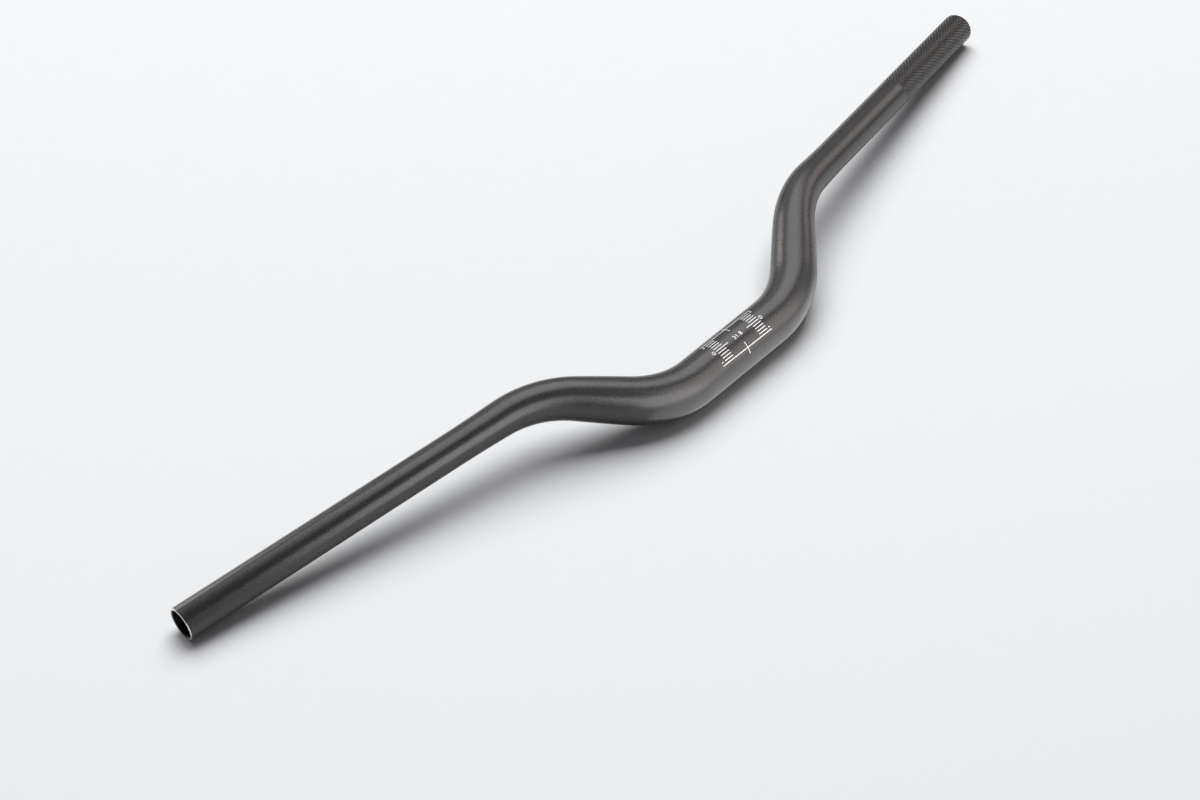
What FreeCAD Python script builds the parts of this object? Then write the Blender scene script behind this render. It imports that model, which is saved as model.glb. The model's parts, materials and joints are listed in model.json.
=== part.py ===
import FreeCAD, Part
import math
import os
import Sketcher

# Riser handlebar: one aluminium tube, butted, tapered and bent, lying as it comes to rest.
# The body is drawn with the risers standing up: X along the bar, Z up the risers, Y to the rear,
# with the origin in the middle of the stem clamp. Its Placement then rolls it about X until the
# clamp and both ends touch a level surface, with Z up.

# Driving sizes in millimetres and degrees: alias, value, meaning
DRIVING_SIZES = (
    ("overall_width", 800, "across the outermost rims of the two ends, before their edges are broken"),
    ("clamp_diameter", 31.8, "outside, where the stem holds the bar"),
    ("clamp_straight", 76, "straight length in the middle"),
    ("clamp_wall", 2.6, "wall in the middle, up to the start of the taper"),
    ("riser_bend_radius", 74, "first bend, on the centre line"),
    ("riser_bend_angle", 40, "turn of the first bend"),
    ("taper_start", 26, "length round the first bend before the taper starts"),
    ("riser_straight", 35, "straight length between the bends"),
    ("bend_roll", 18, "turn of the tube between the bends, towards the rear"),
    ("grip_bend_radius", 91, "second bend, on the centre line"),
    ("grip_bend_angle", 33.5, "turn of the second bend"),
    ("taper_runout", 39, "straight length after the second bend in which the taper ends"),
    ("grip_diameter", 22.2, "outside, where grips and levers sit"),
    ("grip_wall", 1.9, "wall from the end of the taper to the ends"),
    ("end_chamfer", 0.4, "broken edges of the cut ends, outside and inside"),
)

# Sizes that follow from the driving ones: alias, formula, meaning
DERIVED_SIZES = (
    ("plain_turn", "=taper_start / riser_bend_radius * 180 / pi",
     "turn of the first bend before the taper"),
    ("tapered_turn", "=riser_bend_angle - plain_turn",
     "turn of the first bend within the taper"),
    ("half_grip_turn", "=grip_bend_angle / 2",
     "half of the second bend"),
    ("tapered_arc", "=tapered_turn * pi / 180 * riser_bend_radius",
     "length of the first bend within the taper"),
    ("half_grip_arc", "=half_grip_turn * pi / 180 * grip_bend_radius",
     "length of half of the second bend"),
    ("taper_length", "=tapered_arc + riser_straight + 2 * half_grip_arc + taper_runout",
     "length of the taper on the centre line"),
    ("grip_axis_x", "=cos(grip_bend_angle) * cos(riser_bend_angle)"
                    " + sin(grip_bend_angle) * sin(riser_bend_angle) * cos(bend_roll)",
     "share of the grip's direction along X"),
    ("grip_axis_y", "=sin(grip_bend_angle) * sin(bend_roll)",
     "share of the grip's direction along Y"),
    ("grip_axis_z", "=cos(grip_bend_angle) * sin(riser_bend_angle)"
                    " - sin(grip_bend_angle) * cos(riser_bend_angle) * cos(bend_roll)",
     "share of the grip's direction along Z"),
    ("bend_drop", "=grip_bend_radius * (1 - cos(grip_bend_angle))",
     "sideways shift of the second bend"),
    ("bend_run", "=riser_straight + grip_bend_radius * sin(grip_bend_angle)",
     "reach along the riser, from the first bend to the end of the second"),
    ("grip_foot_x", "=clamp_straight / 2 + riser_bend_radius * sin(riser_bend_angle)"
                    " + bend_run * cos(riser_bend_angle)"
                    " + bend_drop * sin(riser_bend_angle) * cos(bend_roll)",
     "end of the second bend along X"),
    ("grip_foot_y", "=bend_drop * sin(bend_roll)",
     "end of the second bend along Y"),
    ("grip_foot_z", "=riser_bend_radius * (1 - cos(riser_bend_angle))"
                    " + bend_run * sin(riser_bend_angle)"
                    " - bend_drop * cos(riser_bend_angle) * cos(bend_roll)",
     "end of the second bend along Z"),
    ("end_rim_reach", "=grip_diameter / 2 * sqrt(1 - grip_axis_x ^ 2)",
     "how far the rim of an end stands out past its centre along X"),
    ("end_x", "=overall_width / 2 - end_rim_reach", "centre of the end along X"),
    ("grip_run", "=(end_x - grip_foot_x) / grip_axis_x",
     "straight length from the second bend to the end"),
    ("end_y", "=grip_foot_y + grip_run * grip_axis_y", "centre of the end along Y"),
    ("end_z", "=grip_foot_z + grip_run * grip_axis_z", "centre of the end along Z"),
    ("rest_roll", "=atan2(end_z; end_y)"
                  " + asin((clamp_diameter - grip_diameter) / 2 / hypot(end_y; end_z))",
     "roll about X that lays the clamp and both ends on one level"),
)

# Which way a bend turns, against the local x of the station where it starts
AWAY_FROM_X = -1
TOWARDS_X = 1


def make_sheet(doc):
    """Spreadsheet with one row for each size: meaning, then the value under its alias."""
    sheet = doc.addObject("Spreadsheet::Sheet", "sizes")
    for row, (alias, value, meaning) in enumerate(DRIVING_SIZES + DERIVED_SIZES, start=1):
        sheet.set(f"A{row}", meaning)
        sheet.set(f"B{row}", str(value))
        sheet.setAlias(f"B{row}", alias)
    doc.recompute()
    return sheet


def origin_plane(body, role):
    """The body's own origin plane of that role, such as YZ_Plane."""
    return next(plane for plane in body.Origin.OriginFeatures if plane.Role == role)


def placement(base, axis, angle):
    """Expression of a move by base, with a turn about one axis."""
    return f"placement(vector({base}); rotation(vector({axis}); {angle}))"


def add_station(body, name, expression):
    """Coordinate system across the tube, with its local z along the centre line."""
    station = body.newObject("PartDesign::CoordinateSystem", name)
    station.setExpression("Placement", expression)
    body.Document.recompute()
    return station


def add_ring(body, name, support, mode, thickness):
    """Section of the tube: two circles about the sketch's origin, a wall apart.

    thickness is an expression: 0 gives the grip's diameter and wall, 1 the clamp's.
    """
    sketch = body.newObject("Sketcher::SketchObject", name)
    sketch.AttachmentSupport = (support, "")
    sketch.MapMode = mode
    diameter = f"sizes.grip_diameter + (sizes.clamp_diameter - sizes.grip_diameter) * {thickness}"
    wall = f"(sizes.grip_wall + (sizes.clamp_wall - sizes.grip_wall) * {thickness})"
    for label, expression in (("outside", diameter), ("bore", f"{diameter} - 2 * {wall}")):
        circle = sketch.addGeometry(Part.Circle())
        sketch.addConstraint(Sketcher.Constraint("Coincident", circle, 3, -1, 1))
        size = sketch.addConstraint(Sketcher.Constraint("Diameter", circle, 2))
        sketch.renameConstraint(size, label)
        sketch.setExpression(f"Constraints.{label}", expression)
    return sketch


def thickness_at(arc):
    """Expression of the taper: half a cosine wave, from 1 at its start to 0 at its end, arc along it."""
    return f"((1 + cos(180 * ({arc}) / sizes.taper_length)) / 2)"


def add_arc(body, name, station, sheet, radius, angle, side):
    """Centre line of a bend: an arc from the station's origin, tangent to its local z."""
    sketch = body.newObject("Sketcher::SketchObject", name)
    sketch.AttachmentSupport = (station, "")
    sketch.MapMode = "ObjectXZ"
    bend_radius = float(sheet.get(radius))
    turn = math.radians(float(sheet.get(angle)))
    circle = Part.Circle(FreeCAD.Vector(side * bend_radius, 0, 0), FreeCAD.Vector(0, 0, 1), bend_radius)
    span = (math.pi - turn, math.pi) if side == TOWARDS_X else (0, turn)
    start_point = 2 if side == TOWARDS_X else 1
    arc = sketch.addGeometry(Part.ArcOfCircle(circle, *span))
    sketch.addConstraint(Sketcher.Constraint("Coincident", arc, start_point, -1, 1))
    sketch.addConstraint(Sketcher.Constraint("PointOnObject", arc, 3, -1))
    sizes = (
        ("bend_radius", Sketcher.Constraint("Radius", arc, bend_radius), radius),
        ("bend_angle", Sketcher.Constraint("Angle", arc, turn), angle),
    )
    for label, constraint, alias in sizes:
        sketch.renameConstraint(sketch.addConstraint(constraint), label)
        sketch.setExpression(f"Constraints.{label}", f"sizes.{alias}")
    return sketch


def add_bend(body, name, start, sheet, radius, angle, side, thickness):
    """Bent stretch of tube from the start section; returns its feature and its end section and station."""
    section, station = start
    shift = f"{side} * sizes.{radius} * (1 - cos(sizes.{angle}))"
    reach = f"sizes.{radius} * sin(sizes.{angle})"
    move = placement(f"{shift}; 0; {reach}", "0; 1; 0", f"{side} * sizes.{angle}")
    end_station = add_station(body, f"{name}_end", f"{station.Name}.Placement * {move}")
    end_section = add_ring(body, f"{name}_section", end_station, "ObjectXY", thickness)
    spine = add_arc(body, f"{name}_spine", station, sheet, radius, angle, side)
    pipe = body.newObject("PartDesign::AdditivePipe", name)
    pipe.Profile = section
    pipe.Sections = [(end_section, "")]
    pipe.Spine = (spine, "")
    pipe.Transformation = "Multisection"
    return pipe, (end_section, end_station)


def add_straight(body, name, start, length, thickness):
    """Straight stretch of tube; returns its feature and its end section and station."""
    section, station = start
    move = placement(f"0; 0; sizes.{length}", "0; 0; 1", "0")
    end_station = add_station(body, f"{name}_end", f"{station.Name}.Placement * {move}")
    end_section = add_ring(body, f"{name}_section", end_station, "ObjectXY", thickness)
    loft = body.newObject("PartDesign::AdditiveLoft", name)
    loft.Profile = section
    loft.Sections = [(end_section, "")]
    return loft, (end_section, end_station)


def add_roll(body, name, start, roll, thickness):
    """The section at the end of a stretch and its station again, rolled about the tube."""
    station = start[1]
    move = placement("0; 0; 0", "0; 0; 1", f"sizes.{roll}")
    rolled_station = add_station(body, name, f"{station.Name}.Placement * {move}")
    return add_ring(body, f"{name}_section", rolled_station, "ObjectXY", thickness), rolled_station


def add_clamp(body):
    """Straight middle that the stem clamps, and the section at its right edge."""
    middle = add_ring(body, "clamp_section", origin_plane(body, "YZ_Plane"), "FlatFace", "1")
    pad = body.newObject("PartDesign::Pad", "clamp_zone")
    pad.Profile = middle
    pad.SideType = "Symmetric"
    pad.setExpression("Length", "sizes.clamp_straight")
    station = add_station(body, "clamp_edge", placement("sizes.clamp_straight / 2; 0; 0", "0; 1; 0", "90"))
    return add_ring(body, "clamp_edge_section", station, "ObjectXY", "1"), station


def add_right_half(body, clamp_edge, sheet):
    """Riser bend, riser, grip bend and the end of the taper, each from the end of the one before."""
    riser_foot = "sizes.tapered_arc"
    riser_top = f"{riser_foot} + sizes.riser_straight"
    grip_bend_middle = f"{riser_top} + sizes.half_grip_arc"
    grip_foot = f"{grip_bend_middle} + sizes.half_grip_arc"
    plain_bend, at = add_bend(body, "riser_bend_plain", clamp_edge, sheet,
                              "riser_bend_radius", "plain_turn", AWAY_FROM_X, "1")
    riser_bend, at = add_bend(body, "riser_bend_tapered", at, sheet,
                              "riser_bend_radius", "tapered_turn", AWAY_FROM_X, thickness_at(riser_foot))
    riser, at = add_straight(body, "riser", at, "riser_straight", thickness_at(riser_top))
    at = add_roll(body, "grip_bend_start", at, "bend_roll", thickness_at(riser_top))
    first_grip_bend, at = add_bend(body, "grip_bend_first_half", at, sheet, "grip_bend_radius",
                                   "half_grip_turn", TOWARDS_X, thickness_at(grip_bend_middle))
    second_grip_bend, at = add_bend(body, "grip_bend_second_half", at, sheet, "grip_bend_radius",
                                    "half_grip_turn", TOWARDS_X, thickness_at(grip_foot))
    taper_end, at = add_straight(body, "taper_end", at, "taper_runout", "0")
    grip = add_grip(body, at[0])
    return [plain_bend, riser_bend, riser, first_grip_bend, second_grip_bend, taper_end, grip]


def add_grip(body, section):
    """Plain round length that the grip and the levers sit on."""
    pad = body.newObject("PartDesign::Pad", "grip_zone")
    pad.Profile = section
    pad.setExpression("Length", "sizes.grip_run - sizes.taper_runout")
    return pad


def add_left_half(body, right_half):
    """Left half, as the mirror of the right one."""
    mirror = body.newObject("PartDesign::Mirrored", "left_half")
    mirror.Originals = right_half
    mirror.MirrorPlane = (origin_plane(body, "YZ_Plane"), [""])
    body.Tip = mirror
    return mirror


def add_end_chamfers(body, base, sheet):
    """Broken edges round both cut ends, where closed edges are centred on an end."""
    body.Document.recompute()
    end_x = float(sheet.get("end_x"))
    tolerance = 0.001
    rims = [
        f"Edge{number}"
        for number, edge in enumerate(base.Shape.Edges, start=1)
        if edge.isClosed() and abs(abs(edge.CenterOfMass.x) - end_x) < tolerance
    ]
    chamfer = body.newObject("PartDesign::Chamfer", "end_chamfers")
    chamfer.Base = (base, rims)
    chamfer.setExpression("Size", "sizes.end_chamfer")


def make_bar(doc, sheet):
    """The whole bar, laid down on the clamp and both ends."""
    body = doc.addObject("PartDesign::Body", "handlebar_tube")
    body.Label = "handlebar_tube"
    clamp_edge = add_clamp(body)
    right_half = add_right_half(body, clamp_edge, sheet)
    mirror = add_left_half(body, right_half)
    add_end_chamfers(body, mirror, sheet)
    body.setExpression("Placement", placement("0; 0; 0", "1; 0; 0", "-sizes.rest_roll"))
    doc.recompute()
    return body


def check(doc, body):
    """Stop before anything is written if a step failed or the bar isn't one sound solid."""
    for item in doc.Objects:
        if "Invalid" in item.State or "Error" in item.State:
            raise RuntimeError(f"{item.Name} failed: {item.State}")
    if body.Shape.isNull() or not body.Shape.isValid():
        raise RuntimeError(f"{body.Label} has no valid shape")
    if len(body.Shape.Solids) != 1:
        raise RuntimeError(f"{body.Label} is {len(body.Shape.Solids)} solids, not one")


def write(body):
    """One STEP file, named for its node."""
    os.makedirs("parts", exist_ok=True)
    body.Shape.exportStep(os.path.join("parts", f"{body.Label}.step"))


document = FreeCAD.newDocument("riser_handlebar")
size_sheet = make_sheet(document)
bar = make_bar(document, size_sheet)
check(document, bar)
write(bar)
bounds = bar.Shape.optimalBoundingBox()
lengths = " x ".join(f"{length:.2f}" for length in (bounds.XLength, bounds.YLength, bounds.ZLength))
print(f"volume {bar.Shape.Volume:.1f} mm3, box {lengths} mm")
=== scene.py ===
import json
import math

import bpy
import numpy as np
from mathutils import Matrix, Vector


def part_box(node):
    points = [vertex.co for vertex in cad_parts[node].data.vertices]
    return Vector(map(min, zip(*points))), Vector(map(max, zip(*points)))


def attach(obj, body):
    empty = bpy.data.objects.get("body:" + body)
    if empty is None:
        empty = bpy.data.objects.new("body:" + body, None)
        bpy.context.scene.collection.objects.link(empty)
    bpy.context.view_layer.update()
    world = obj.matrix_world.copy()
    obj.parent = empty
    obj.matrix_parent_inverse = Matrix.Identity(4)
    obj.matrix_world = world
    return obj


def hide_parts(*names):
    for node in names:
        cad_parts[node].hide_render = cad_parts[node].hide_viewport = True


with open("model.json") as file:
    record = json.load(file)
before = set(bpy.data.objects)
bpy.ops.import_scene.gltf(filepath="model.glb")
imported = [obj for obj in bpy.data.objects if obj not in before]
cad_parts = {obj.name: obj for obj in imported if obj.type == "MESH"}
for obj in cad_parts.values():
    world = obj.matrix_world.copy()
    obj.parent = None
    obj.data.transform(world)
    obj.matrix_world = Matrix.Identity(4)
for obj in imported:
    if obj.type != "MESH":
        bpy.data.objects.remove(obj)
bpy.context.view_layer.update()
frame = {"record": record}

# The tube
# One length of aluminium with a thicker wall in the middle, swaged to a taper, bent four times and
# cut to length. It is blasted and anodised black, then sawn, so its two end faces are bare metal.

MM = 0.001
DECIMALS = 9
ROUND_OFF = 1e-9
mounts = {mount["name"]: mount for mount in frame["record"]["mounts"]}
CLAMP_RADIUS = mounts["stem_clamp"]["dims"]["r_mm"] * MM
HALF_CLAMP = mounts["stem_clamp"]["dims"]["length_mm"] * MM / 2
GRIP_RADIUS = mounts["right_grip"]["dims"]["r_mm"] * MM
GRIP_LENGTH = mounts["right_grip"]["dims"]["length_mm"] * MM
GRIP_BORE = mounts["right_end_plug"]["dims"]["r_mm"] * MM
GRIP_AXIS = np.array(mounts["right_grip"]["axis"])
CLAMP_BORE = 13.3 * MM
RISER_BEND_RADIUS = 74 * MM
RISER_BEND_ANGLE = math.radians(40)
RISER_STRAIGHT = 35 * MM
BEND_ROLL = math.radians(18)
GRIP_BEND_RADIUS = 91 * MM
GRIP_BEND_ANGLE = math.radians(33.5)
TAPER_START = 26 * MM
TAPER_RUNOUT = 39 * MM
END_CHAMFER = 0.4 * MM
BORE_CHAMFER = 0.7 * MM


def bend_axes(roll):
    """Up and rear of the clamp length, with the bar rolled about X."""
    up = np.array([0, math.sin(roll), math.cos(roll)])
    rear = np.array([0, math.cos(roll), -math.sin(roll)])
    return up, rear


def stretches(roll):
    """The right half as (length, radius, side): straight where the radius is None, or an arc towards side.

    The side of the second bend is the first one's, turned back by the roll between the bends.
    """
    along = np.array([1.0, 0, 0])
    up, rear = bend_axes(roll)
    across_riser = math.cos(RISER_BEND_ANGLE) * up - math.sin(RISER_BEND_ANGLE) * along
    grip_side = math.sin(BEND_ROLL) * rear - math.cos(BEND_ROLL) * across_riser
    return (
        (HALF_CLAMP, None, None),
        (RISER_BEND_RADIUS * RISER_BEND_ANGLE, RISER_BEND_RADIUS, up),
        (RISER_STRAIGHT, None, None),
        (GRIP_BEND_RADIUS * GRIP_BEND_ANGLE, GRIP_BEND_RADIUS, grip_side),
        (TAPER_RUNOUT + GRIP_LENGTH + END_CHAMFER, None, None),
    )


def turned(vector, axis, angles):
    """A vector turned about a unit axis by each angle, by the rule of a rotation about an axis."""
    cos = np.cos(angles)[:, None]
    sin = np.sin(angles)[:, None]
    return vector * cos + np.cross(axis, vector) * sin + axis * (vector @ axis) * (1 - cos)


def half_line(arc, roll):
    """Centre line and its two cross axes at arc lengths from the middle of the bar.

    Each stretch starts from the end of the one before. A straight adds its length times the direction.
    An arc adds radius times (sine of the turn along, one minus its cosine sideways), and turns the axes.
    """
    point = np.zeros(3)
    axes = np.array([[1.0, 0, 0], *bend_axes(roll)])
    points = np.zeros((len(arc), 3))
    crosses = np.zeros((len(arc), 2, 3))
    passed = 0.0
    for length, radius, side in stretches(roll):
        here = (arc >= passed) & (arc <= passed + length + ROUND_OFF)
        run = np.append(arc[here] - passed, length)
        if radius is None:
            line = point + run[:, None] * axes[0]
            frames = np.repeat(axes[None], len(run), axis=0)
        else:
            turn = run / radius
            line = point + radius * (np.sin(turn)[:, None] * axes[0] + (1 - np.cos(turn))[:, None] * side)
            hinge = np.cross(axes[0], side)
            frames = np.stack([turned(axis, hinge, turn) for axis in axes], axis=1)
        points[here] = line[:-1]
        crosses[here] = frames[:-1, 1:]
        point, axes = line[-1], frames[-1]
        passed += length
    return points, crosses


def grip_direction(roll):
    """Direction of the right grip length for a roll of the bar about X."""
    half_length = sum(stretch[0] for stretch in stretches(roll))
    ends, _ = half_line(np.array([half_length - GRIP_LENGTH, half_length]), roll)
    return (ends[1] - ends[0]) / np.linalg.norm(ends[1] - ends[0])


# The bar is rolled about X until its grips point the way that the record says.
unrolled = grip_direction(0.0)
REST_ROLL = math.atan2(unrolled[2], unrolled[1]) - math.atan2(GRIP_AXIS[2], GRIP_AXIS[1])
HALF_LENGTH = sum(stretch[0] for stretch in stretches(REST_ROLL))
PLAIN_END = HALF_LENGTH - END_CHAMFER
TAPER_FROM = HALF_CLAMP + TAPER_START
TAPER_TO = PLAIN_END - GRIP_LENGTH


def tapered(arc, middle, end):
    """A size along the bar: middle, then half a cosine wave down the taper, then end."""
    share = np.clip((np.abs(arc) - TAPER_FROM) / (TAPER_TO - TAPER_FROM), 0, 1)
    return end + (middle - end) * (1 + np.cos(math.pi * share)) / 2


# Knurl: two families of grooves wind round the right end, one left-handed and one right-handed.
KNURL_LENGTH = 112.8 * MM
KNURLS_AROUND = 30
KNURLS_ALONG = 24
STEPS_PER_KNURL = 6
KNURL_PEAK = 0.06 * MM
KNURL_DEPTH = 0.32 * MM
KNURL_FADE = 0.6 * MM
AROUND = KNURLS_AROUND * STEPS_PER_KNURL
KNURL_FROM = PLAIN_END - KNURL_LENGTH
KNURL_STEP = KNURL_LENGTH / (KNURLS_ALONG * STEPS_PER_KNURL)


def knurl_pyramid(arc, turn):
    """Share of the knurl's full height at arc lengths and shares of a turn.

    Each groove is where turn plus or minus the length is a whole number of pitches. The share rises from
    the nearer groove in a straight line, to a pyramid.
    """
    along = (arc - KNURL_FROM) / KNURL_LENGTH * KNURLS_ALONG
    around = turn * KNURLS_AROUND
    to_right_groove = np.abs((around + along + 0.5) % 1 - 0.5)
    to_left_groove = np.abs((around - along + 0.5) % 1 - 0.5)
    return 2 * np.minimum(to_right_groove, to_left_groove)


def knurl_height(arc, turn):
    """Height of the knurl above the plain tube: its pyramids, faded in where the band starts."""
    fade = np.clip((arc - KNURL_FROM) / KNURL_FADE, 0, 1)
    return fade * (KNURL_PEAK - KNURL_DEPTH * (1 - knurl_pyramid(arc, turn)))


CLAMP_ROWS = 4
BEND_ROWS = 22
STRAIGHT_ROWS = 9


def outside_stations():
    """Arc lengths of the rows of the outside, from the left end to the right: close in bends and knurl."""
    passed = np.cumsum([0] + [stretch[0] for stretch in stretches(REST_ROLL)])
    half = np.concatenate([
        np.linspace(passed[0], passed[1], CLAMP_ROWS),
        np.linspace(passed[1], passed[2], BEND_ROWS),
        np.linspace(passed[2], passed[3], STRAIGHT_ROWS),
        np.linspace(passed[3], passed[4], BEND_ROWS),
        np.linspace(passed[4], TAPER_TO, STRAIGHT_ROWS),
    ])
    left = -np.append(half, PLAIN_END)[::-1]
    before_knurl = [KNURL_FROM - KNURL_STEP]
    knurl = KNURL_FROM + KNURL_STEP * np.arange(KNURLS_ALONG * STEPS_PER_KNURL + 1)
    return np.unique(np.round(np.concatenate([left, half, before_knurl, knurl]), DECIMALS))


# Finishes of the tube, in the order of its materials.
SKIN, RIM, BORE, KNURL = range(4)


def tube_rows():
    """Rows round the wall of the tube, as arc length and radius, and the finish from each to the next.

    They go out along the outside, over the right end's rim, back along the bore and over the left rim.
    The bore's broken edges are dark as the bore is, and the outer ones are bare as the rims are.
    """
    outside = outside_stations()
    inside = outside[np.abs(outside) < TAPER_TO + ROUND_OFF]
    inside = np.concatenate([[HALF_LENGTH - BORE_CHAMFER], inside[::-1], [BORE_CHAMFER - HALF_LENGTH]])
    right_rim = np.array([[HALF_LENGTH, GRIP_RADIUS - END_CHAMFER], [HALF_LENGTH, GRIP_BORE + BORE_CHAMFER]])
    left_rim = right_rim[::-1] * (-1, 1)
    skin = np.stack([outside, tapered(outside, CLAMP_RADIUS, GRIP_RADIUS)], axis=1)
    bore = np.stack([inside, tapered(inside, CLAMP_BORE, GRIP_BORE)], axis=1)
    rows = np.concatenate([skin, right_rim, bore, left_rim])
    bands = [len(skin) - 1, len(right_rim), len(bore) + 1, len(left_rim)]
    return rows, np.repeat([SKIN, RIM, BORE, RIM], bands), len(skin)


def knurled_rows(rows, skin_rows):
    """Which of the rows lie on the outside and in the knurled band."""
    return (rows[:, 0] >= KNURL_FROM - ROUND_OFF) & (np.arange(len(rows)) < skin_rows)


def tube_points(rows, skin_rows):
    """Every row as a ring: the centre line plus the radius times the cosine and sine of the turn."""
    turn = np.arange(AROUND) / AROUND
    points, crosses = half_line(np.abs(rows[:, 0]), REST_ROLL)
    flip = np.where(rows[:, 0] < 0, -1.0, 1.0)
    points[:, 0] *= flip
    crosses[:, :, 0] *= flip[:, None]
    radius = np.repeat(rows[:, 1:], AROUND, axis=1)
    knurled = knurled_rows(rows, skin_rows)
    radius[knurled] += knurl_height(rows[knurled, 0][:, None], turn[None])
    ring = np.cos(2 * math.pi * turn)[:, None] * crosses[:, None, 0]
    ring = ring + np.sin(2 * math.pi * turn)[:, None] * crosses[:, None, 1]
    return points[:, None] + radius[..., None] * ring


def knurl_shade_and_sheen(rows, skin_rows):
    """How bright each point of the knurl is painted: none, for painted shade, in a groove, and full, for a
    painted sheen, from halfway up its flanks.
    """
    turn = np.arange(AROUND) / AROUND
    sheen = np.zeros((len(rows), AROUND))
    knurled = knurled_rows(rows, skin_rows)
    sheen[knurled] = np.clip(2 * knurl_pyramid(rows[knurled, 0][:, None], turn[None]), 0, 1)
    return sheen


def tube_faces(rows, finish, skin_rows):
    """Faces between neighbouring rows and columns, closed both ways, and the finish of each.

    They are quads, but the knurl's are cut in two: along the groove that falls with the turn where one
    crosses, and elsewhere the way that the other grooves rise.
    """
    count = len(rows)
    row, column = np.meshgrid(np.arange(count), np.arange(AROUND), indexing="ij")
    next_row = (row + 1) % count
    next_column = (column + 1) % AROUND
    corners = np.stack([
        row * AROUND + column,
        next_row * AROUND + column,
        next_row * AROUND + next_column,
        row * AROUND + next_column,
    ], axis=-1)
    knurled = knurled_rows(rows, skin_rows - 1)
    step = column + row - np.argmax(knurled) + 1
    falls = (step % STEPS_PER_KNURL == 0)[knurled][..., None]
    cut = corners[knurled]
    one = np.where(falls, cut[..., [0, 1, 3]], cut[..., [0, 1, 2]]).reshape(-1, 3)
    other = np.where(falls, cut[..., [1, 2, 3]], cut[..., [0, 2, 3]]).reshape(-1, 3)
    quads = corners[~knurled].reshape(-1, 4)
    finishes = np.concatenate([np.repeat(finish[~knurled], AROUND), np.full(2 * len(one), KNURL)])
    return quads.tolist() + one.tolist() + other.tolist(), finishes


def new_piece(name, points, faces):
    """Mesh object at the origin, with its place in its points."""
    mesh = bpy.data.meshes.new(name)
    mesh.from_pydata(points.reshape(-1, 3), [], faces)
    mesh.update()
    piece = bpy.data.objects.new(name, mesh)
    bpy.context.scene.collection.objects.link(piece)
    return piece


SHARP_EDGE = math.radians(12)
rows, finish, skin_rows = tube_rows()
faces, finishes = tube_faces(rows, finish, skin_rows)
tube = new_piece("handlebar", tube_points(rows, skin_rows), faces)
tube.data.polygons.foreach_set("material_index", finishes.astype(np.int32))
# Painted shade in the knurl's grooves and painted sheen on its flanks, kept on the points for its material
# to read.
sheen_values = tube.data.attributes.new("knurl_shade_and_sheen", "FLOAT", "POINT")
sheen_values.data.foreach_set("value", knurl_shade_and_sheen(rows, skin_rows).ravel())
tube.data.shade_smooth()
tube.data.set_sharp_from_angle(angle=SHARP_EDGE)
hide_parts("handlebar_tube")
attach(tube, "root")


def new_material(name):
    """Node material, with its nodes and its Principled shader."""
    material = bpy.data.materials.new(name)
    material.use_nodes = True
    nodes = material.node_tree.nodes
    return material, nodes, nodes["Principled BSDF"]


PIT_DETAIL = 2.0
CLOUDS_PER_METRE = 60.0
CLOUD_DETAIL = 4.0


def blasted_grain_group():
    """Fine pits of bead blasting under the oxide, and a slower cloud where the dye took more or less."""
    group = bpy.data.node_groups.new("blasted_grain", "ShaderNodeTree")
    group.interface.new_socket("Pits per Metre", in_out="INPUT", socket_type="NodeSocketFloat")
    for name in ("Pits", "Cloud"):
        group.interface.new_socket(name, in_out="OUTPUT", socket_type="NodeSocketFloat")
    nodes = group.nodes
    link = group.links.new
    inputs = nodes.new("NodeGroupInput")
    outputs = nodes.new("NodeGroupOutput")
    place = nodes.new("ShaderNodeTexCoord")
    pits = nodes.new("ShaderNodeTexNoise")
    pits.inputs["Detail"].default_value = PIT_DETAIL
    cloud = nodes.new("ShaderNodeTexNoise")
    cloud.inputs["Scale"].default_value = CLOUDS_PER_METRE
    cloud.inputs["Detail"].default_value = CLOUD_DETAIL
    link(place.outputs["Object"], pits.inputs["Vector"])
    link(place.outputs["Object"], cloud.inputs["Vector"])
    link(inputs.outputs["Pits per Metre"], pits.inputs["Scale"])
    link(pits.outputs["Fac"], outputs.inputs["Pits"])
    link(cloud.outputs["Fac"], outputs.inputs["Cloud"])
    return group


blasted_grain = blasted_grain_group()


def grained(nodes, pits_per_metre):
    """The grain group placed in a material, with that many pits to the metre."""
    grain = nodes.new("ShaderNodeGroup")
    grain.node_tree = blasted_grain
    grain.inputs["Pits per Metre"].default_value = pits_per_metre
    return grain


# Most of a noise lies between these two of its values.
NOISE_LOW = 0.3
NOISE_HIGH = 0.7


def spread(material, source, low, high, socket):
    """Carry a 0 to 1 value to a shader socket, from low to high over the middle of its range."""
    spread_node = material.node_tree.nodes.new("ShaderNodeMapRange")
    spread_node.inputs["From Min"].default_value = NOISE_LOW
    spread_node.inputs["From Max"].default_value = NOISE_HIGH
    spread_node.inputs["To Min"].default_value = low
    spread_node.inputs["To Max"].default_value = high
    material.node_tree.links.new(source, spread_node.inputs["Value"])
    material.node_tree.links.new(spread_node.outputs["Result"], socket)


def ramp(material, source, low, high, socket):
    """Carry a 0 to 1 value to a colour socket, from one colour to the other over the middle of its range."""
    ramp_node = material.node_tree.nodes.new("ShaderNodeValToRGB")
    first, last = ramp_node.color_ramp.elements
    first.position = NOISE_LOW
    last.position = NOISE_HIGH
    first.color = (*low, 1)
    last.color = (*high, 1)
    material.node_tree.links.new(source, ramp_node.inputs["Fac"])
    material.node_tree.links.new(ramp_node.outputs["Color"], socket)


def bumped(material, source, depth, shader):
    """A bump of that depth in metres, from a 0 to 1 height."""
    bump = material.node_tree.nodes.new("ShaderNodeBump")
    bump.inputs["Strength"].default_value = 1.0
    bump.inputs["Distance"].default_value = depth
    material.node_tree.links.new(source, bump.inputs["Height"])
    material.node_tree.links.new(bump.outputs["Normal"], shader.inputs["Normal"])


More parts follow.
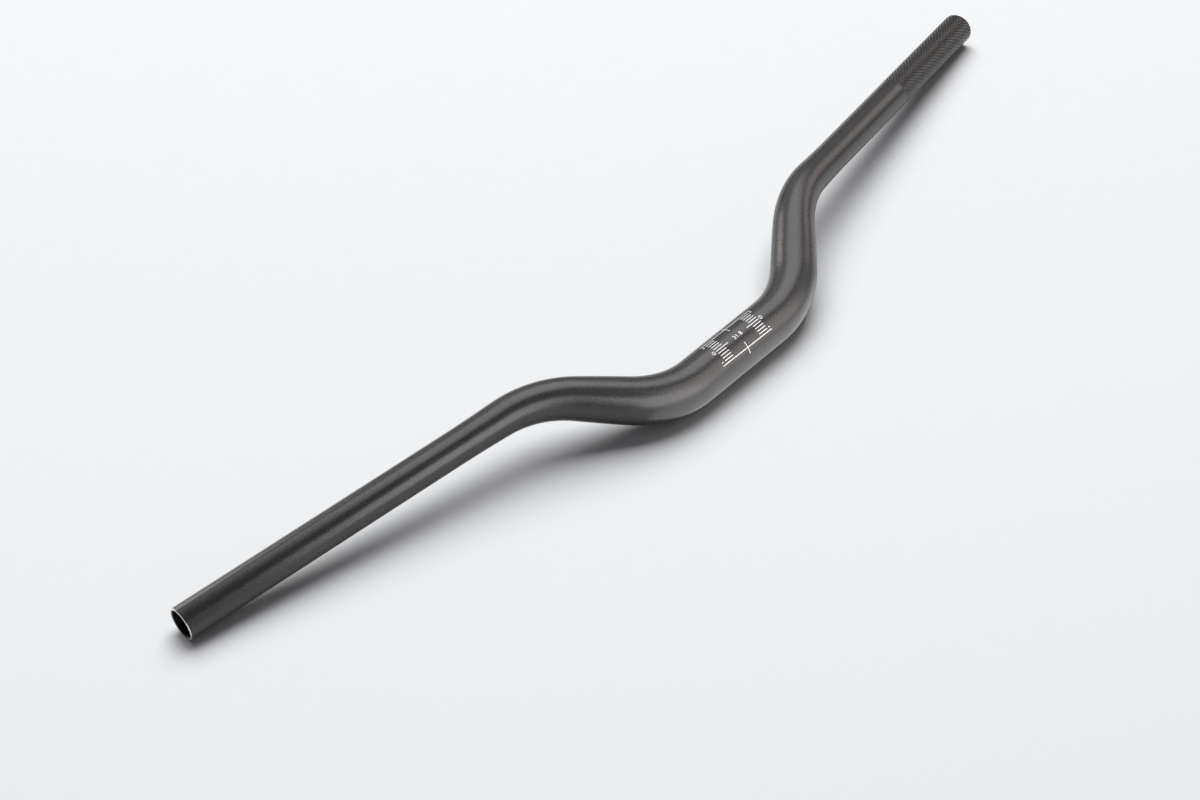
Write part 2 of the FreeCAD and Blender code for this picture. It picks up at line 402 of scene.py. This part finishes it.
OXIDE_PITS = 1100.0
OXIDE_PIT_DEPTH = 0.05 * MM
OXIDE_TONES = (0.016, 0.016, 0.018), (0.024, 0.023, 0.024)
OXIDE_ROUGHNESS = 0.24, 0.36
OXIDE_IOR = 1.6


def anodised_black():
    """Blasted and dyed oxide: near black, satin, with a fine grain."""
    material, nodes, shader = new_material("anodised_black")
    grain = grained(nodes, OXIDE_PITS)
    ramp(material, grain.outputs["Cloud"], *OXIDE_TONES, shader.inputs["Base Color"])
    spread(material, grain.outputs["Pits"], *OXIDE_ROUGHNESS, shader.inputs["Roughness"])
    bumped(material, grain.outputs["Pits"], OXIDE_PIT_DEPTH, shader)
    shader.inputs["IOR"].default_value = OXIDE_IOR
    return material


SAW_CUT_PITS = 6000.0
SAW_CUT_TONES = (0.86, 0.86, 0.87), (0.95, 0.95, 0.95)
SAW_CUT_ROUGHNESS = 0.18, 0.28


def bare_saw_cut():
    """Sawn and broken aluminium edge: bright, with a fine grain."""
    material, nodes, shader = new_material("bare_saw_cut")
    grain = grained(nodes, SAW_CUT_PITS)
    ramp(material, grain.outputs["Pits"], *SAW_CUT_TONES, shader.inputs["Base Color"])
    spread(material, grain.outputs["Pits"], *SAW_CUT_ROUGHNESS, shader.inputs["Roughness"])
    shader.inputs["Metallic"].default_value = 1.0
    return material


BORE_PITS = 800.0
BORE_TONES = (0.008, 0.008, 0.009), (0.014, 0.013, 0.013)
BORE_ROUGHNESS = 0.4, 0.6


def dark_bore():
    """Drawn inside of the tube, dyed with the rest but left unblasted."""
    material, nodes, shader = new_material("dark_bore")
    grain = grained(nodes, BORE_PITS)
    ramp(material, grain.outputs["Cloud"], *BORE_TONES, shader.inputs["Base Color"])
    spread(material, grain.outputs["Pits"], *BORE_ROUGHNESS, shader.inputs["Roughness"])
    return material


# The dark tone paints shade into the knurl's grooves, and the light tone paints a sheen up its flanks.
KNURL_SHADE_AND_SHEEN_TONES = (0.07, 0.069, 0.071), (0.115, 0.112, 0.112)


def knurled_black():
    """Dyed metal of the knurl, as satin as the rest, with shade painted dark into the grooves and a sheen
    painted brighter up the flanks.
    """
    material, nodes, shader = new_material("knurled_black")
    grain = grained(nodes, OXIDE_PITS)
    sheen = nodes.new("ShaderNodeAttribute")
    sheen.attribute_name = "knurl_shade_and_sheen"
    ramp(material, sheen.outputs["Fac"], *KNURL_SHADE_AND_SHEEN_TONES, shader.inputs["Base Color"])
    spread(material, grain.outputs["Pits"], *OXIDE_ROUGHNESS, shader.inputs["Roughness"])
    bumped(material, grain.outputs["Pits"], OXIDE_PIT_DEPTH, shader)
    shader.inputs["Metallic"].default_value = 1.0
    return material


for finish_material in (anodised_black(), bare_saw_cut(), dark_bore(), knurled_black()):
    tube.data.materials.append(finish_material)

# The turn scale
# White ink, pad printed on the anodised clamp so that the bar can be set to the same turn again:
# two rows of lines one step apart, a zero on each, and a centre mark on the line at each side.

SCALE_ANGLE = math.radians(104.3)
SCALE_STEP = math.radians(7.6) * CLAMP_RADIUS
SCALE_SKEW = math.radians(0.8)
STEPS_EACH_WAY = 4
LINE_WIDTH = 0.54 * MM
FIGURE_WIDTH = 0.5 * MM
INK_HEIGHT = 0.03 * MM
INK_ROOT = 0.05 * MM
TICK_FROM = 13.6 * MM
TICK_TO = 21.6 * MM
ZERO_TICK_FROM = 9.6 * MM
FIGURE_AT = 23.8 * MM
SIDE_LINE_REACH = 24.8 * MM
CROSS_REACH = 4.4 * MM
FIGURE_HEIGHT = 2.5 * MM
FIGURE_PITCH = 2.5 * MM
POINT_SHARE = 0.5
SIGN_REACH = 0.7 * MM


def straight(start, end, count=12):
    """Points of a straight stroke on the unrolled clamp: along the bar, and round it from the zero line."""
    share = np.linspace(0, 1, count)[:, None]
    return np.array(start) * (1 - share) + np.array(end) * share


def oval(centre, reach, start=0.0, end=360.0, count=32):
    """Points of an oval stroke: the centre plus its reach times the cosine and sine, between two angles."""
    angle = np.radians(np.linspace(start, end, count))
    return np.array(centre) + np.array(reach) * np.stack([np.cos(angle), np.sin(angle)], axis=1)


def stroke(path, width):
    """The two edges of a stroke: its path, moved half the width to each side along its normal."""
    forward = np.gradient(path, axis=0)
    forward /= np.linalg.norm(forward, axis=1)[:, None]
    normal = np.stack([-forward[:, 1], forward[:, 0]], axis=1)
    return np.stack([path - normal * width / 2, path + normal * width / 2], axis=1)


def on_clamp(flat):
    """Unrolled points laid on the clamp: skewed a little, then wrapped round at the ink's height."""
    along = flat[..., 0] * math.cos(SCALE_SKEW) - flat[..., 1] * math.sin(SCALE_SKEW)
    across = flat[..., 0] * math.sin(SCALE_SKEW) + flat[..., 1] * math.cos(SCALE_SKEW)
    angle = SCALE_ANGLE + across / CLAMP_RADIUS
    radius = CLAMP_RADIUS + INK_HEIGHT
    return np.stack([along, radius * np.cos(angle), radius * np.sin(angle)], axis=-1)


def tick_rows():
    """Both rows of lines, with the zero line reaching further in."""
    paths = []
    for side in (-1, 1):
        for step in range(-STEPS_EACH_WAY, STEPS_EACH_WAY + 1):
            inner = ZERO_TICK_FROM if step == 0 else TICK_FROM
            paths.append(straight((side * inner, step * SCALE_STEP), (side * TICK_TO, step * SCALE_STEP)))
    return paths


def side_lines():
    """A line along each side of the scale, crossed at the middle of the bar."""
    paths = []
    for side in (-1, 1):
        level = side * (STEPS_EACH_WAY + 1) * SCALE_STEP
        paths.append(straight((-SIDE_LINE_REACH, level), (SIDE_LINE_REACH, level)))
        paths.append(straight((0, level - CROSS_REACH), (0, level + CROSS_REACH)))
    return paths


def signs():
    """A plus outside the last line on one side of the zero lines, and a minus on the other."""
    paths = []
    last = STEPS_EACH_WAY * SCALE_STEP
    for side in (-1, 1):
        middle = side * FIGURE_AT
        for level in (-last, last):
            paths.append(straight((middle - SIGN_REACH, level), (middle + SIGN_REACH, level)))
        paths.append(straight((middle, -last - SIGN_REACH), (middle, -last + SIGN_REACH)))
    return paths


# Strokes of each figure in a cell one unit high, centred on zero, with up as the second number.
FIGURES = {
    "0": (oval((0, 0), (0.36, 0.5)),),
    "1": (straight((0.05, -0.5), (0.05, 0.5)), straight((-0.2, 0.3), (0.05, 0.5))),
    "3": (oval((0, 0.25), (0.28, 0.25), 150, -90), oval((0, -0.25), (0.3, 0.25), 90, -150)),
    "8": (oval((0, 0.25), (0.26, 0.25)), oval((0, -0.25), (0.3, 0.25))),
    ".": (straight((-0.08, -0.42), (0.08, -0.42)),),
}


def figures(text, middle):
    """A row of figures along the bar, centred there, with their tops to the front of the scale."""
    widths = np.array([POINT_SHARE if figure == "." else 1.0 for figure in text]) * FIGURE_PITCH
    shifts = middle - widths.sum() / 2 + np.cumsum(widths) - widths / 2
    paths = []
    for figure, shift in zip(text, shifts):
        for path in FIGURES[figure]:
            paths.append(path * (FIGURE_HEIGHT, -FIGURE_HEIGHT) + (shift, 0))
    return paths


def print_piece(name, inked):
    """Each path and width as a strip on the clamp, given a thickness inwards so that it is closed."""
    points = []
    faces = []
    passed = 0
    for path, width in inked:
        edges = on_clamp(stroke(path, width))
        first = passed + 2 * np.arange(len(path) - 1)
        faces += np.stack([first, first + 2, first + 3, first + 1], axis=1).tolist()
        points.append(edges.reshape(-1, 3))
        passed += 2 * len(path)
    piece = new_piece(name, np.concatenate(points), faces)
    wall = piece.modifiers.new("ink_thickness", "SOLIDIFY")
    wall.thickness = INK_HEIGHT + INK_ROOT
    wall.offset = -1.0
    return piece


INK_PITS = 2500.0
INK_TONES = (0.84, 0.84, 0.83), (0.94, 0.94, 0.93)
INK_ROUGHNESS = 0.5, 0.62


def white_ink():
    """Matt white ink, a little thin in places, so that the grain below shows through."""
    material, nodes, shader = new_material("white_ink")
    grain = grained(nodes, INK_PITS)
    ramp(material, grain.outputs["Pits"], *INK_TONES, shader.inputs["Base Color"])
    spread(material, grain.outputs["Cloud"], *INK_ROUGHNESS, shader.inputs["Roughness"])
    return material


lines = tick_rows() + side_lines() + signs()
marks = figures("0", -FIGURE_AT) + figures("0", FIGURE_AT) + figures("31.8", 0)
inked = [(path, LINE_WIDTH) for path in lines] + [(path, FIGURE_WIDTH) for path in marks]
turn_scale = print_piece("turn_scale", inked)
turn_scale.data.materials.append(white_ink())
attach(turn_scale, "root")

# The floor and the light
# The bar lies on a plain pale matt sheet. Soft panels stand and hang round the bar and a lit card lies
# under its clamp. Flags keep these off the sheet, which one large panel lights from high behind it.

FLOOR_SIZE = 12.0
SHEET_PITS = 300.0
SHEET_TONES = (0.86, 0.865, 0.87), (0.875, 0.88, 0.885)
SHEET_ROUGHNESS = 0.62, 0.68
floor_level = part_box("handlebar_tube")[0].z


def pale_sheet():
    """Pale matt sheet with a slow drift in tone."""
    material, nodes, shader = new_material("pale_sheet")
    grain = grained(nodes, SHEET_PITS)
    ramp(material, grain.outputs["Cloud"], *SHEET_TONES, shader.inputs["Base Color"])
    spread(material, grain.outputs["Cloud"], *SHEET_ROUGHNESS, shader.inputs["Roughness"])
    return material


def floor_points():
    """Corners of a flat square at the level that the bar rests on."""
    reach = np.array([-FLOOR_SIZE / 2, FLOOR_SIZE / 2])
    along, across = np.meshgrid(reach, reach, indexing="ij")
    return np.stack([along, across, np.full_like(along, floor_level)], axis=-1)


floor = new_piece("floor", floor_points(), [(0, 2, 3, 1)])
floor.data.materials.append(pale_sheet())


def receivers(name, pieces):
    """Collection of the pieces that a light reaches. Flags beside the light keep it off all others."""
    collection = bpy.data.collections.new(name)
    for piece in pieces:
        collection.objects.link(piece)
    return collection


def softbox(name, reached, place, faces, size, brightness, colour):
    """Rectangular light at a place, facing a direction, that reaches one collection.

    Its power is its brightness times pi times its area, as for any surface that glows evenly.
    """
    light = bpy.data.lights.new(name, "AREA")
    light.shape = "RECTANGLE"
    light.size, light.size_y = size
    light.energy = brightness * math.pi * size[0] * size[1]
    light.color = colour
    lamp = bpy.data.objects.new(name, light)
    away = -Vector(faces)
    lamp.matrix_world = Matrix.Translation(place) @ away.to_track_quat("Z", "Y").to_matrix().to_4x4()
    lamp.visible_camera = False
    lamp.light_linking.receiver_collection = reached
    bpy.context.scene.collection.objects.link(lamp)


bar = receivers("bar_receivers", (tube, turn_scale))
sheet = receivers("sheet_receivers", (floor,))
softbox(
    "side_softbox", bar, place=(0.01, -0.54, 0.25), faces=(0, 1, 0), size=(0.5, 0.5),
    brightness=3.6, colour=(1.0, 0.965, 0.99),
)
softbox(
    "corner_softbox", bar, place=(0.47, -0.52, 0.44), faces=(-0.6, 0.8, -0.2), size=(0.48, 0.84),
    brightness=2.3, colour=(1.0, 0.95, 0.88),
)
softbox(
    "far_softbox", bar, place=(1.03, -0.08, 0.4), faces=(-1, 0.1, -0.3), size=(0.4, 0.35),
    brightness=1.9, colour=(1.0, 0.885, 0.79),
)
softbox(
    "top_softbox", bar, place=(0.42, 0.33, 0.8), faces=(0, 0, -1), size=(1.05, 0.8),
    brightness=2.55, colour=(1.0, 0.965, 0.99),
)
softbox(
    "low_softbox", bar, place=(-0.05, 1.2, 0.48), faces=(0, -1, 0), size=(0.45, 0.62),
    brightness=3.8, colour=(1.0, 0.91, 0.87),
)
softbox(
    "back_softbox", bar, place=(0.6, 1.55, 0.92), faces=(-0.2, -1, -0.3), size=(1.6, 0.9),
    brightness=0.67, colour=(1.0, 0.985, 0.99),
)
softbox(
    "right_softbox", bar, place=(1.5, 0.6, 0.9), faces=(-1, -0.3, -0.3), size=(1.3, 0.9),
    brightness=0.3, colour=(1.0, 1.0, 0.97),
)
softbox(
    "clamp_card", bar, place=(0.03, -0.12, -0.0145), faces=(0, 0, 1), size=(0.24, 0.22),
    brightness=0.9, colour=(1.0, 0.96, 0.92),
)
softbox(
    "sheet_softbox", sheet, place=(2.0, 2.0, 5.2), faces=(-0.38, -0.38, -1), size=(5.6, 5.6),
    brightness=4.5, colour=(0.985, 0.995, 1.0),
)

ROOM_COLOUR = (0.96, 0.95, 1.0)
ROOM_LIGHT = 0.13
world = bpy.data.worlds.new("room")
world.use_nodes = True
background = world.node_tree.nodes["Background"]
background.inputs["Color"].default_value = (*ROOM_COLOUR, 1)
background.inputs["Strength"].default_value = ROOM_LIGHT
bpy.context.scene.world = world
bpy.context.scene.view_settings.view_transform = "Standard"

# The camera
# It looks down on the bar from the left front, from a little over two metres, through a long lens.

CAMERA_AT = Vector((-1.2941, -1.0304, 1.3585))
CAMERA_AIM = Vector((-0.0901, 0.0364, 0.0))
CAMERA_ROLL = math.radians(-2.38)
CAMERA_LENS = 99.2
SENSOR_WIDTH = 36.0

camera_data = bpy.data.cameras.new("camera")
camera_data.lens = CAMERA_LENS
camera_data.sensor_width = SENSOR_WIDTH
camera = bpy.data.objects.new("camera", camera_data)
look = (CAMERA_AIM - CAMERA_AT).to_track_quat("-Z", "Y").to_matrix().to_4x4()
camera.matrix_world = Matrix.Translation(CAMERA_AT) @ look @ Matrix.Rotation(CAMERA_ROLL, 4, "Z")
bpy.context.scene.collection.objects.link(camera)
bpy.context.scene.camera = camera
